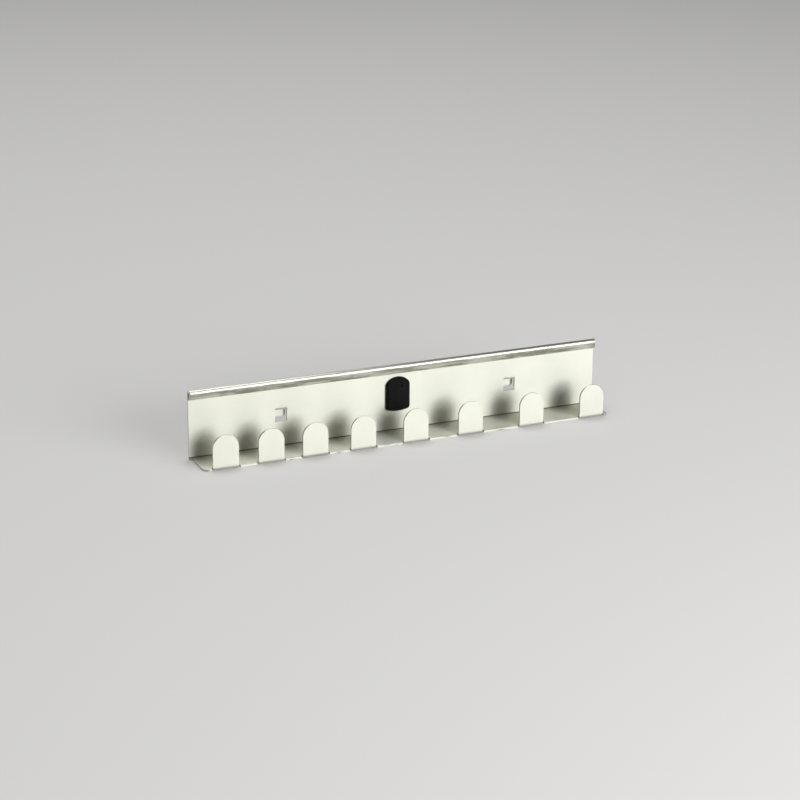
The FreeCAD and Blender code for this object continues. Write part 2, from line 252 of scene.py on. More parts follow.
class StageSettings(bpy.types.PropertyGroup):
    """Camera, floor, world and lamps."""

    camera_place: bpy.props.FloatVectorProperty(
        name="Camera place", description="Where the camera stands",
        default=(-0.5423, -1.2747, 0.4945), subtype="TRANSLATION")
    camera_target: bpy.props.FloatVectorProperty(
        name="Camera target", description="What the camera looks at",
        default=(0.0024, 0.0, -0.0042), subtype="TRANSLATION")
    camera_roll: bpy.props.FloatProperty(
        name="Camera roll", description="Clockwise turn of the camera about its view",
        default=math.radians(-0.549), subtype="ANGLE")
    camera_lens: bpy.props.FloatProperty(
        name="Camera lens", description="Focal length on a 36 mm sensor, in millimetres", default=107.7)
    floor_colour: bpy.props.StringProperty(
        name="Floor", description="Painted floor, hex sRGB", default="#D4D3CF")
    horizon: bpy.props.FloatProperty(
        name="Horizon", description="Brightness of the room at eye level", default=0.9, min=0.0)
    ceiling: bpy.props.FloatProperty(
        name="Ceiling", description="Brightness of the room overhead", default=0.12, min=0.0)
    front: bpy.props.FloatProperty(
        name="Front lamp", description="Soft lamp that the plate and tabs mirror, in watts",
        default=15.5, min=0.0)
    top: bpy.props.FloatProperty(
        name="Top lamp", description="Soft lamp from the left above, in watts", default=9.0, min=0.0)
    back: bpy.props.FloatProperty(
        name="Back lamp", description="Soft lamp from above and behind, in watts",
        default=28.0, min=0.0)
    floor_reach: bpy.props.FloatProperty(
        name="Floor reach", description="Radius of the floor", default=6.0, unit="LENGTH")


def linear(colour):
    """The linear RGBA of a hex sRGB colour."""
    channels = [int(colour[start:start + 2], 16) / 255 for start in (1, 3, 5)]
    return [c / 12.92 if c <= 0.04045 else ((c + 0.055) / 1.055) ** 2.4 for c in channels] + [1.0]


def carried(path, start, heading, distance):
    """Points in the plane of Y and Z at distances along a path of straight runs and arcs.

    The path is a list of (length, turn). On each piece the heading grows evenly by the turn, so a point
    moves by length over turn times the change of (sine, minus cosine) of its heading. The last piece runs
    on past its length.
    """
    y, z = np.zeros_like(distance), np.zeros_like(distance)
    place, done = np.array(start, float), 0.0
    for number, (length, turn) in enumerate(path):
        last = number == len(path) - 1
        along = np.clip(distance - done, 0.0, None if last else length)
        here = (distance >= done - LENGTH_SLACK) & ((distance <= done + length) | last)
        if turn:
            radius = length / turn
            angle = heading + turn * along / length
            step_y = radius * (np.sin(angle) - math.sin(heading))
            step_z = radius * (math.cos(heading) - np.cos(angle))
            end = radius * np.array([math.sin(heading + turn) - math.sin(heading),
                                     math.cos(heading) - math.cos(heading + turn)])
        else:
            step_y, step_z = along * math.cos(heading), along * math.sin(heading)
            end = length * np.array([math.cos(heading), math.sin(heading)])
        y = np.where(here, place[0] + step_y, y)
        z = np.where(here, place[1] + step_z, z)
        place, heading, done = place + end, heading + turn, done + length
    return y, z


def even(first, last, cells):
    """Lines from first to last with a number of even cells between."""
    return np.linspace(first, last, cells + 1)


def merged(*groups):
    """Sorted values of all groups, without those that are the same line as the one before."""
    values = np.sort(np.concatenate([np.ravel(group) for group in groups]))
    return values[np.concatenate([[True], np.diff(values) > SAME_LINE])]


def lines(marks, step):
    """Sorted grid lines that hold every mark, with even ones between where a gap is over the step."""
    marks = merged(marks)
    spans = [even(low, high, int(math.ceil((high - low) / step - CELL_SLACK)))[:-1]
             for low, high in zip(marks, marks[1:])]
    return np.concatenate(spans + [marks[-1:]])


def round_corner(across, along, middle, start, radius, side):
    """Bend a square corner of a grid onto a quarter circle.

    With u and v from 0 to 1 over the corner's square, a point goes to u times the root of 1 - v squared / 2,
    and v times the root of 1 - u squared / 2, so that the two outer edges of the square lie on the circle.
    """
    u = side * (across - middle) / radius
    v = (along - start) / radius
    inside = (u >= 0) & (v >= 0)
    u, v = np.clip(u, 0, 1), np.clip(v, 0, 1)
    bent_across = middle + side * radius * u * np.sqrt(1 - v * v / 2)
    bent_along = start + radius * v * np.sqrt(1 - u * u / 2)
    return np.where(inside, bent_across, across), np.where(inside, bent_along, along)


def patch(across, along, place, keep, flip):
    """A grid of quads that keep picks, turned over where flip says so.

    place turns (x, distance) into points and map coordinates.
    """
    x, distance = np.meshgrid(across, along)
    points, blank = place(x, distance)
    rows, columns = x.shape
    number = np.arange(rows * columns).reshape(rows, columns)
    quads = np.stack([number[:-1, :-1], number[:-1, 1:], number[1:, 1:], number[1:, :-1]], axis=-1)
    wanted = keep((x[:-1, :-1] + x[1:, 1:]) / 2, (distance[:-1, :-1] + distance[1:, 1:]) / 2)
    quads = quads[wanted]
    return points.reshape(-1, 3), blank.reshape(-1, 2), quads[:, ::-1] if flip else quads


def welded(patches):
    """One set of points, map coordinates and quads from several patches, with points that meet joined."""
    points = np.concatenate([item[0] for item in patches])
    blank = np.concatenate([item[1] for item in patches])
    starts = np.cumsum([0] + [len(item[0]) for item in patches[:-1]])
    quads = np.concatenate([item[2] + start for item, start in zip(patches, starts)])
    # The third keeps sizes in whole microns away from the halves, where rounding could go either way.
    _, first, joined = np.unique(np.round(points / WELD + 1 / 3).astype(np.int64), axis=0,
                                 return_index=True, return_inverse=True)
    quads = joined.reshape(-1)[quads]
    used, quads = np.unique(quads, return_inverse=True)
    return points[first][used], blank[first][used], quads.reshape(-1, 4)


def make_object(name, points, faces, blank=None):
    """A smooth mesh object at the origin, with its blank coordinates as a UV map if it has them."""
    mesh = bpy.data.meshes.new(name)
    mesh.from_pydata(points.tolist(), [], [list(face) for face in faces])
    if blank is not None:
        corners = np.zeros(len(mesh.loops), np.int32)
        mesh.loops.foreach_get("vertex_index", corners)
        layer = mesh.uv_layers.new(name=BLANK_MAP)
        layer.data.foreach_set("uv", blank[corners].astype(np.float32).ravel())
    mesh.shade_smooth()
    made = bpy.data.objects.new(name, mesh)
    bpy.context.scene.collection.objects.link(made)
    return made


def round_edges(piece, width, segments):
    """Round every edge sharper than 30 degrees, and keep flat faces flat to the eye."""
    bevel = piece.modifiers.new("rounded edges", "BEVEL")
    bevel.width = width
    bevel.segments = segments
    bevel.limit_method = "ANGLE"
    bevel.angle_limit = math.radians(30)
    normals = piece.modifiers.new("flat faces", "WEIGHTED_NORMAL")
    normals.keep_sharp = False


def within(value, middle, width):
    """Where a value lies inside a band."""
    return np.abs(value - middle) < width / 2


def strip_lines(sizes):
    """Grid lines along the strip: at every cut, and close together over each tab's round top."""
    left = STRIP_LOW.x + sizes.shelf_inset
    marks = [STRIP_LOW.x, STRIP_HIGH.x, left, -sizes.aperture / 2, sizes.aperture / 2]
    marks += list(even(left, left + sizes.left_round, SHELF_CORNER_CELLS))
    marks += list(even(STRIP_HIGH.x - sizes.right_round, STRIP_HIGH.x, CORNER_CELLS))
    for middle in (-sizes.hook_middle, sizes.hook_middle):
        for side in (-1, 1):
            end = middle + side * sizes.hook_width / 2
            marks += list(even(end - side * sizes.hook_round, end, CORNER_CELLS))
    for middle in TAB_MIDDLES:
        half = sizes.tab_width / 2
        marks += [middle - half - sizes.relief, middle + half + sizes.relief]
        places = even(middle - half, middle + half, TOP_CELLS_ACROSS)
        room = np.abs(np.array(marks) - places[:, None]).min(axis=1)
        room[[0, -1]] = math.inf
        marks += list(places[room > CLEAR_OF_CUTS])
    return lines(marks, sizes.grid_step)


def flat_plate(sizes):
    """Height of the flat of the plate, from the end of the crease's bend to the start of the hem's."""
    return STRIP_HIGH.z - UNDERSIDE - sizes.hem_bend - sizes.bend - 2 * sizes.sheet


def hem_turn(sizes):
    """Angle that the hem is folded through."""
    return math.pi + sizes.hem_lean


def bend_run(sizes, inside, turn):
    """Length of a bend along the sheet's middle: its radius there times its angle."""
    return (inside + sizes.sheet / 2) * turn


def steel_sheet(sizes):
    """The strip's middle surface: the cut blank, carried along the folds.

    A point of the blank has a place x along the strip and a distance s from the foot of the plate, up over
    the hem or down over the shelf. x stays, and s becomes the distance along the folded path.
    """
    half = sizes.sheet / 2
    outer = sizes.bend + sizes.sheet
    quarter = math.pi / 2
    plate = flat_plate(sizes)
    shelf = -FRONT - 2 * outer
    bend_length = bend_run(sizes, sizes.bend, quarter)
    hem_end = plate + bend_run(sizes, sizes.hem_bend, hem_turn(sizes))
    up = [(plate, 0.0), (hem_end - plate, hem_turn(sizes)), (sizes.hem_leg, 0.0)]
    down = [(bend_length, -quarter), (shelf, 0.0), (bend_length, -quarter), STRAIGHT_ON]
    flat_down = down[:1] + [STRAIGHT_ON]
    corner = (-half, outer + UNDERSIDE)
    root = bend_length + shelf
    shelf_front = root + outer
    left = STRIP_LOW.x + sizes.shelf_inset
    radius = sizes.tab_width / 2
    shoulder = root + bend_length + (TAB_TOP - UNDERSIDE - radius - outer)
    window_top = PLACES["hang_points"][2] + outer
    across = strip_lines(sizes)

    def plate_height(z):
        return z - corner[1]

    def beside_tab(x, width):
        return np.any([within(x, middle, width) for middle in TAB_MIDDLES], axis=0)

    def in_window(x):
        return within(np.abs(x), sizes.hook_middle, sizes.hook_width)

    def above(x, s):
        y, z = carried(up, corner, quarter, s)
        return np.stack([x, y, z], axis=-1), np.stack([s, x], axis=-1)

    def below(x, s):
        y, z = carried(down, corner, -quarter, s)
        return np.stack([x, y, z], axis=-1), np.stack([-s, x], axis=-1)

    def shelf_edge(x, s):
        # The blank's two front corners are bent round before it is carried straight on from the crease.
        x, s = round_corner(x, s, left + sizes.left_round, shelf_front - sizes.left_round,
                            sizes.left_round, -1)
        x, s = round_corner(x, s, STRIP_HIGH.x - sizes.right_round, shelf_front - sizes.right_round,
                            sizes.right_round, 1)
        y, z = carried(flat_down, corner, -quarter, s)
        return np.stack([x, y, z], axis=-1), np.stack([-s, x], axis=-1)

    def round_top(x, s):
        # Over the shoulder, u runs from -1 to 1 across the tab and v from 0 to 1 up it. A point goes to u
        # times the root of 1 - v squared / 2, and v times the root of 1 - u squared / 2, a half circle.
        nearest = np.array(TAB_MIDDLES)[np.abs(x[..., None] - np.array(TAB_MIDDLES)).argmin(axis=-1)]
        u = np.clip((x - nearest) / radius, -1, 1)
        v = np.clip((s - shoulder) / radius, 0, 1)
        over = (s > shoulder) & (np.abs(x - nearest) <= radius + LENGTH_SLACK)
        x = np.where(over, nearest + radius * u * np.sqrt(1 - v * v / 2), x)
        s = np.where(over, shoulder + radius * v * np.sqrt(1 - u * u / 2), s)
        return below(x, s)

    hook_run = sizes.mount_gap - 2 * sizes.bend
    hook_path = [(bend_length, quarter), (hook_run, 0.0), (bend_length, -quarter), STRAIGHT_ON]

    def hook(x, s):
        # The end's two corners are bent round, and the tongue narrows by the shear's gaps over its first
        # bend, as 3 e squared - 2 e cubed grows from 0 to 1.
        middle = np.sign(x) * sizes.hook_middle
        for side in (-1, 1):
            bent, along = round_corner(x - middle, s, side * (sizes.hook_width / 2 - sizes.hook_round),
                                       sizes.tongue - sizes.hook_round, sizes.hook_round, side)
            x, s = bent + middle, along
        ease = np.clip(s / bend_length, 0, 1)
        narrow = 1 - 2 * sizes.hook_shear / sizes.hook_width * ease * ease * (3 - 2 * ease)
        x = middle + (x - middle) * narrow
        y, z = carried(hook_path, (-half, window_top), -quarter, s)
        return np.stack([x, y, z], axis=-1), np.stack([plate_height(window_top) - s, x], axis=-1)

    plate_marks = [0.0, plate, plate_height(window_top), plate_height(window_top) - sizes.tongue,
                   plate_height(PLUG_MIDDLE) - sizes.aperture / 2,
                   plate_height(PLUG_MIDDLE) + sizes.aperture / 2]
    # Rows over the flats may stand twice as far apart as the columns.
    row_step = 2 * sizes.grid_step
    up_rows = merged(lines(plate_marks, row_step), even(plate, hem_end, HEM_CELLS),
                     even(hem_end, hem_end + sizes.hem_leg, 2))
    bend_rows = even(0, bend_length, BEND_CELLS)
    front_rows = even(root, shelf_front, CORNER_CELLS)
    corner_rows = even(shelf_front - sizes.left_round, root, CORNER_CELLS)
    shelf_rows = merged(lines([bend_length, corner_rows[0]], row_step), corner_rows)
    tab_rows = merged(root + bend_rows, lines([root + bend_length, shoulder], row_step),
                      even(shoulder, shoulder + radius, TOP_CELLS_UP))
    hook_bend = even(0, bend_length, HOOK_CELLS)
    hook_rows = merged(hook_bend, bend_length + hook_run + hook_bend,
                       even(sizes.tongue - sizes.hook_round, sizes.tongue, CORNER_CELLS))

    def keep_plate(x, s):
        window = in_window(x) & within(s, plate_height(window_top) - sizes.tongue / 2, sizes.tongue)
        hole = within(x, 0.0, sizes.aperture) & within(s, plate_height(PLUG_MIDDLE), sizes.aperture)
        return ~(window | hole)

    def keep_edge(x, s):
        return (x > left) & ~beside_tab(x, sizes.tab_width + 2 * sizes.relief)

    def keep_bend(x, s):
        return np.ones(x.shape, bool)

    return welded([
        patch(across, up_rows, above, keep_plate, False),
        patch(across, bend_rows, below, keep_bend, True),
        patch(across, shelf_rows, shelf_edge, lambda x, s: x > left, True),
        patch(across, front_rows, shelf_edge, keep_edge, True),
        patch(across, tab_rows, round_top, lambda x, s: beside_tab(x, sizes.tab_width), True),
        patch(across, hook_rows, hook, lambda x, s: in_window(x), True),
    ])


class BuildStrip(bpy.types.Operator):
    """Fold the steel strip from its blank, thicken it and round its punched edges"""

    bl_idname = "socket_holder.build_strip"
    bl_label = "Build the strip"

    def execute(self, context):
        sizes = context.scene.holder_strip_sizes
        points, blank, quads = steel_sheet(sizes)
        strip = make_object("folded_strip", points, quads, blank)
        wall = strip.modifiers.new("sheet", "SOLIDIFY")
        wall.thickness = sizes.sheet
        wall.offset = 0.0
        wall.use_even_offset = True
        round_edges(strip, sizes.edge_round, 2)
        strip.data.materials.append(bright_plated_steel(context.scene.holder_finish, sizes))
        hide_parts("holder_strip")
        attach(strip, "root")
        return {"FINISHED"}


def head_outline(sizes, spacing):
    """Evenly spaced points round the clip's head, anticlockwise seen from the front.

    Straight sides, a foot and an arch that are shallow arcs, and round shoulders between. The points are
    averaged with their neighbours, which rounds the corners of the foot as a mould does.
    """
    half = (CLIP_HIGH.x - CLIP_LOW.x) / 2
    top = CLIP_HIGH.z
    cut = half - sizes.foot_cut
    sag = sizes.foot_round - math.sqrt(sizes.foot_round ** 2 - cut ** 2)
    foot = CLIP_LOW.z + sag
    inset = half - sizes.shoulder_round
    span = sizes.arch_round - sizes.shoulder_round
    centre = top - sizes.arch_round
    shoulder = centre + math.sqrt(span ** 2 - inset ** 2)
    tip = math.asin(inset / span)
    spread = math.asin(cut / sizes.foot_round)

    def arc(x, z, radius, first, last):
        # From its middle at (x, z), a point goes by the radius times (sine, cosine) of its angle from up.
        angle = np.linspace(first, last, ARC_POINTS)
        return np.stack([x + radius * np.sin(angle), z + radius * np.cos(angle)], axis=-1)

    corners = np.concatenate([
        arc(0.0, CLIP_LOW.z + sizes.foot_round, sizes.foot_round, math.pi + spread, math.pi - spread),
        [[half, foot + sizes.foot_cut]],
        arc(inset, shoulder, sizes.shoulder_round, math.pi / 2, tip),
        arc(0.0, centre, sizes.arch_round, tip, -tip),
        arc(-inset, shoulder, sizes.shoulder_round, -tip, -math.pi / 2),
        [[-half, foot + sizes.foot_cut]],
    ])
    closed = np.concatenate([corners, corners[:1]])
    run = np.concatenate([[0.0], np.cumsum(np.linalg.norm(np.diff(closed, axis=0), axis=1))])
    places = even(0, run[-1], int(round(run[-1] / spacing)))[:-1]
    ring = np.stack([np.interp(places, run, closed[:, 0]), np.interp(places, run, closed[:, 1])], axis=-1)
    return (np.roll(ring, 1, axis=0) + 2 * ring + np.roll(ring, -1, axis=0)) / 4


def ring_normals(ring):
    """Outward unit normals of a closed ring that runs anticlockwise.

    At each point it is the run from the point before to the one after, turned a quarter clockwise.
    """
    run = np.roll(ring, -1, axis=0) - np.roll(ring, 1, axis=0)
    run /= np.linalg.norm(run, axis=1, keepdims=True)
    return np.stack([run[:, 1], -run[:, 0]], axis=-1)


def rings_to_mesh(rings):
    """Quads between neighbouring rings of points, and a fan that closes each end."""
    count = rings.shape[1]
    number = np.arange(rings.shape[0] * count).reshape(rings.shape[0], count)
    after = np.roll(number, -1, axis=1)
    quads = np.stack([number[:-1], after[:-1], after[1:], number[1:]], axis=-1).reshape(-1, 4)
    ends = rings[[0, -1]].mean(axis=1)
    first, last = np.full(count, number.size), np.full(count, number.size + 1)
    fans = np.concatenate([np.stack([first, after[0], number[0]], axis=-1),
                           np.stack([last, number[-1], after[-1]], axis=-1)])
    return np.concatenate([rings.reshape(-1, 3), ends]), quads.tolist() + fans.tolist()


def clip_head(sizes):
    """The head as rings from the middle of its back, round its edge and over its front to the dimple.

    A ring on the front lies part of the way from the bevel's inner edge to the dimple's rim, and stands on
    the crown, a shallow cylinder whose depth grows with the square of the distance from the middle. Inside
    the dimple's rim it sinks further, by the dimple's depth times 1 - s to the power 2.5, where s is the
    share of the way from the dimple's middle to its rim.
    """
    back, face = -bpy.context.scene.holder_strip_sizes.sheet, CLIP_LOW.y
    half = (CLIP_HIGH.x - CLIP_LOW.x) / 2
    reach = half + CROWN_MARGIN
    crown_radius = (reach ** 2 + sizes.crown ** 2) / (2 * sizes.crown)
    edge = head_outline(sizes, OUTLINE_STEP)
    normals = ring_normals(edge)
    inner = edge - normals * sizes.bevel
    dimple = np.array([sizes.dimple_side, PLUG_MIDDLE + sizes.dimple_rise])
    toward = inner - dimple
    rim = dimple + toward / np.linalg.norm(toward, axis=1, keepdims=True) * sizes.dimple_radius

    def crown_depth(flat):
        return face + flat[:, 0] ** 2 / (2 * crown_radius)

    def ring(flat, depth):
        return np.stack([flat[:, 0], np.broadcast_to(depth, len(flat)), flat[:, 1]], axis=-1)

    middle = edge.mean(axis=0)
    rings = [ring(middle + (edge - middle) * share, back) for share in BACK_SHARES]
    for share in SIDE_SHARES:
        rings.append(ring(edge, back + (crown_depth(inner) + sizes.bevel - back) * share))
    rings.append(ring(inner, crown_depth(inner)))
    for share in even(0, 1, FRONT_CELLS)[1:]:
        flat = inner + (rim - inner) * share
        rings.append(ring(flat, crown_depth(flat)))
    for share in even(1, 0, DIMPLE_CELLS)[1:-1]:
        flat = dimple + (rim - dimple) * share
        rings.append(ring(flat, crown_depth(flat) + sizes.dimple_depth * (1 - share ** 2.5)))
    return rings_to_mesh(np.array(rings))


def clip_plug(sizes):
    """The split snap plug: one outline of two barbed legs, carried straight across.

    The lower leg is the upper one's mirror image. Their common root runs from inside the head to just
    behind the plate.
    """
    outer = sizes.plug / 2
    inner = outer - sizes.plug_leg
    nose = outer - sizes.barb_lead
    strip = bpy.context.scene.holder_strip_sizes
    gap = strip.mount_gap
    reach = CLIP_HIGH.y
    start = -strip.sheet - PLUG_SUNK
    leg = np.array([
        (sizes.plug_root, inner), (reach, inner), (reach, nose), (gap + sizes.barb, outer + sizes.barb),
        (gap, outer + sizes.barb), (gap, outer), (start, outer)])
    outline = np.concatenate([leg, leg[::-1] * [1, -1]]) + [0, PLUG_MIDDLE]
    half = sizes.plug_width / 2
    sides = [np.insert(outline, 0, x, axis=1) for x in (-half, half)]
    here = np.arange(len(outline))
    after = np.roll(here, -1)
    other = len(outline)
    walls = np.stack([here, after, other + after, other + here], axis=-1)
    return np.concatenate(sides), walls.tolist() + [here[::-1].tolist(), (other + here).tolist()]


def joined_shells(first, second):
    """The first object's mesh becomes the union of both closed shells, and the second is removed."""
    union = first.modifiers.new("union", "BOOLEAN")
    union.operation = "UNION"
    union.solver = "EXACT"
    union.object = second
    graph = bpy.context.evaluated_depsgraph_get()
    mesh = bpy.data.meshes.new_from_object(first.evaluated_get(graph))
    first.modifiers.remove(union)
    first.data = mesh
    bpy.data.objects.remove(second)


def face_outwards(piece):
    """Merge the doubles of a closed mesh and turn every face outwards."""
    work = bmesh.new()
    work.from_mesh(piece.data)
    bmesh.ops.remove_doubles(work, verts=work.verts, dist=WELD)
    bmesh.ops.recalc_face_normals(work, faces=work.faces)
    work.to_mesh(piece.data)
    work.free()


class BuildClip(bpy.types.Operator):
    """Mould the locking clip: its crowned, bevelled head and its split snap plug"""

    bl_idname = "socket_holder.build_clip"
    bl_label = "Build the clip"

    def execute(self, context):
        sizes = context.scene.locking_clip_sizes
        clip = make_object("moulded_clip", *clip_head(sizes))
        plug = make_object("plug_shell", *clip_plug(sizes))
        face_outwards(clip)
        face_outwards(plug)
        joined_shells(clip, plug)
        clip.data.shade_smooth()
        round_edges(clip, sizes.edge_round, 3)
        clip.data.materials.clear()
        clip.data.materials.append(black_moulded_plastic(context.scene.holder_finish))
        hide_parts("locking_clip")
        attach(clip, "root")
        return {"FINISHED"}


def add_node(tree, kind, settings=None, links=None):
    """A shader node with its settings, and links from other nodes' outputs into its inputs.

    An input goes by its name, or by its number where inputs share a name.
    """
    node = tree.nodes.new(kind)
    for key, value in (settings or {}).items():
        if isinstance(key, int) or key in node.inputs and not hasattr(type(node), key):
            node.inputs[key].default_value = value
        else:
            setattr(node, key, value)
    for key, source in (links or {}).items():
        tree.links.new(source, node.inputs[key])
    return node


def new_material(name):
    """An empty node material with its output node."""
    material = bpy.data.materials.new(name)
    material.use_nodes = True
    material.node_tree.nodes.clear()
    return material, material.node_tree


def bright_plated_steel(finish, sizes):
    """Cold-rolled sheet, bright zinc plated.

    The eye gets a warm white half mirror. Its reflections smear across the rolling lines, which run along
    the strip, and thin cloudy patches of the plating tint it. The hem, pressed flat by the tool, is
    smoother, with dull patches at random on its leg, and a dark line of painted shade lies in the crease.
    """
    material, tree = new_material("bright_plated_steel")
    blank = add_node(tree, "ShaderNodeUVMap", {"uv_map": BLANK_MAP})
    place = add_node(tree, "ShaderNodeTexCoord")
    # Rolling lines 0.5 mm apart and 60 mm long. Real ones are finer and wouldn't show.
    lines_map = add_node(tree, "ShaderNodeMapping", {"Scale": (2000.0, 16.0, 1.0)},
                         {"Vector": blank.outputs["UV"]})
    rolled = add_node(tree, "ShaderNodeTexNoise", {"Scale": 1.0, "Detail": 2.0, "Roughness": 0.6},
                      {"Vector": lines_map.outputs["Vector"]})
    # Cloudy patches about 25 mm wide.
    cloud = add_node(tree, "ShaderNodeTexNoise", {"Scale": 40.0, "Detail": 4.0, "Roughness": 0.6},
                     {"Vector": place.outputs["Object"]})
    tint = add_node(tree, "ShaderNodeMix",
                    {"data_type": "RGBA", 6: linear(finish.steel_colour), 7: linear(finish.steel_shade)},
                    {0: cloud.outputs["Fac"]})

    # Distance along the blank: 0 at the foot of the plate, up through the hem, and down below 0. The hem's
    # polish and the dull patches on its leg each fade in over about a millimetre.
    fold = add_node(tree, "ShaderNodeSeparateXYZ", links={"Vector": blank.outputs["UV"]}).outputs["X"]
    hem_start = flat_plate(sizes)
    leg_start = hem_start + bend_run(sizes, sizes.hem_bend, hem_turn(sizes))
    crease = bend_run(sizes, sizes.bend, math.pi / 2)
    on_hem = add_node(tree, "ShaderNodeMapRange",
                      {"From Min": hem_start - 0.6 * MM, "From Max": hem_start + 0.4 * MM,
                       "To Max": finish.hem_polish}, {"Value": fold})
    on_leg = add_node(tree, "ShaderNodeMapRange",
                      {"From Min": leg_start - 1.0 * MM, "From Max": leg_start + 0.2 * MM,
                       "To Max": finish.hem_dulling}, {"Value": fold})
    # Dark patches about 22 mm long and 4 mm high, at random on the hem's leg.
    patch_map = add_node(tree, "ShaderNodeMapping", {"Scale": (250.0, 45.0, 1.0)},
                         {"Vector": blank.outputs["UV"]})
    leg_patch_noise = add_node(tree, "ShaderNodeTexNoise", {"Scale": 1.0, "Detail": 5.0, "Roughness": 0.62},
                       {"Vector": patch_map.outputs["Vector"]})
    patchy = add_node(tree, "ShaderNodeMapRange", {"From Min": 0.44, "From Max": 0.58},
                      {"Value": leg_patch_noise.outputs["Fac"]})
    dull = add_node(tree, "ShaderNodeMath", {"operation": "MULTIPLY"},
                    {0: on_leg.outputs["Result"], 1: patchy.outputs["Result"]})
    # The crease's bend ends at 0, so its middle is half its run below. A dark line of painted shade lies
    # over it and fades out at its ends.
    from_crease = add_node(tree, "ShaderNodeMath", {"operation": "ADD", 1: crease / 2}, {0: fold})
    either_way = add_node(tree, "ShaderNodeMath", {"operation": "ABSOLUTE"},
                          {0: from_crease.outputs["Value"]})
    # Painted shade in the crease, darkest at its middle.
    painted_shade = add_node(tree, "ShaderNodeMapRange",
                     {"From Min": 0.3 * MM, "From Max": crease / 2, "To Min": finish.crease_painted_shade,
                      "To Max": 0.0}, {"Value": either_way.outputs["Value"]})
    # The darker of the hem leg's random patches and the crease's painted shade.
    patches_or_shade = add_node(tree, "ShaderNodeMath", {"operation": "MAXIMUM"},
                    {0: dull.outputs["Value"], 1: painted_shade.outputs["Result"]})
    # Mixes in the darker colour for the patches on the hem's leg and for the painted shade in the crease.
    patches_and_shade = add_node(tree, "ShaderNodeMix", {"data_type": "RGBA", 7: linear(finish.steel_patches_and_shade)},
                       {0: patches_or_shade.outputs["Value"], 6: tint.outputs[2]})

    rough = add_node(tree, "ShaderNodeMapRange",
                     {"From Min": 0.3, "From Max": 0.7, "To Min": finish.steel_roughness - 0.02,
                      "To Max": finish.steel_roughness + 0.025}, {"Value": rolled.outputs["Fac"]})
    gloss = add_node(tree, "ShaderNodeMath", {"operation": "SUBTRACT"},
                     {0: rough.outputs["Result"], 1: on_hem.outputs["Result"]})
    # A sheet is never quite flat: swells 30 mm across and a few hundredths of a millimetre high.
    swell = add_node(tree, "ShaderNodeTexNoise", {"Scale": 33.0, "Detail": 1.0},
                     {"Vector": place.outputs["Object"]})
    wavy = add_node(tree, "ShaderNodeBump", {"Strength": 0.5, "Distance": 0.06 * MM},
                    {"Height": swell.outputs["Fac"]})
    grain = add_node(tree, "ShaderNodeBump", {"Strength": 0.35, "Distance": 0.004 * MM},
                     {"Height": rolled.outputs["Fac"], "Normal": wavy.outputs["Normal"]})
    across = add_node(tree, "ShaderNodeTangent", {"direction_type": "UV_MAP", "uv_map": BLANK_MAP})
    surface = add_node(tree, "ShaderNodeBsdfPrincipled",
                       {"Metallic": 1.0, "Anisotropic": finish.steel_grain},
                       {"Base Color": patches_and_shade.outputs[2], "Roughness": gloss.outputs["Value"],
                        "Normal": grain.outputs["Normal"], "Tangent": across.outputs["Tangent"]})
    add_node(tree, "ShaderNodeOutputMaterial", links={"Surface": surface.outputs["BSDF"]})
    return material


def black_moulded_plastic(finish):
    """Black nylon, injection moulded in a lightly eroded tool.

    The eye gets a satin near black with a soft grey sheen, and a fine grit that breaks its highlights.
    """
    material, tree = new_material("black_moulded_plastic")
    place = add_node(tree, "ShaderNodeTexCoord")
    # Eroded texture with grit 0.25 mm wide, drawn twice as coarse as real so that it shows.
    grit = add_node(tree, "ShaderNodeTexNoise", {"Scale": 4000.0, "Detail": 2.0},
                    {"Vector": place.outputs["Object"]})
    # Rubbed patches about 6 mm wide.
    rubbed = add_node(tree, "ShaderNodeTexNoise", {"Scale": 160.0, "Detail": 3.0},
                      {"Vector": place.outputs["Object"]})
    tint = add_node(tree, "ShaderNodeMix",
                    {"data_type": "RGBA", 6: linear(finish.plastic_colour), 7: linear(finish.plastic_scuff)},
                    {0: rubbed.outputs["Fac"]})
    rough = add_node(tree, "ShaderNodeMapRange",
                     {"From Min": 0.3, "From Max": 0.7, "To Min": finish.plastic_roughness - 0.06,
                      "To Max": finish.plastic_roughness + 0.06}, {"Value": rubbed.outputs["Fac"]})
    bump = add_node(tree, "ShaderNodeBump", {"Strength": 0.4, "Distance": 0.02 * MM},
                    {"Height": grit.outputs["Fac"]})
    surface = add_node(tree, "ShaderNodeBsdfPrincipled",
                       {"IOR": 1.5, "Specular IOR Level": finish.plastic_sheen},
                       {"Base Color": tint.outputs[2], "Roughness": rough.outputs["Result"],
                        "Normal": bump.outputs["Normal"]})
    add_node(tree, "ShaderNodeOutputMaterial", links={"Surface": surface.outputs["BSDF"]})
    return material


def painted_floor(stage):
    """Matt painted board, a plain pale surface."""
    material, tree = new_material("painted_floor")
    surface = add_node(tree, "ShaderNodeBsdfDiffuse", {"Color": linear(stage.floor_colour)})
    add_node(tree, "ShaderNodeOutputMaterial", links={"Surface": surface.outputs["BSDF"]})
    return material


def add_lamp(name, place, target, width, height, power):
    """A soft rectangular lamp of daylight white that faces its target."""
    data = bpy.data.lights.new(name, "AREA")
    data.color = DAYLIGHT
    data.shape = "RECTANGLE"
    data.size, data.size_y, data.energy = width, height, power
    lamp = bpy.data.objects.new(name, data)
    lamp.location = place
    lamp.rotation_euler = (Vector(target) - Vector(place)).to_track_quat("-Z", "Y").to_euler()
    bpy.context.scene.collection.objects.link(lamp)


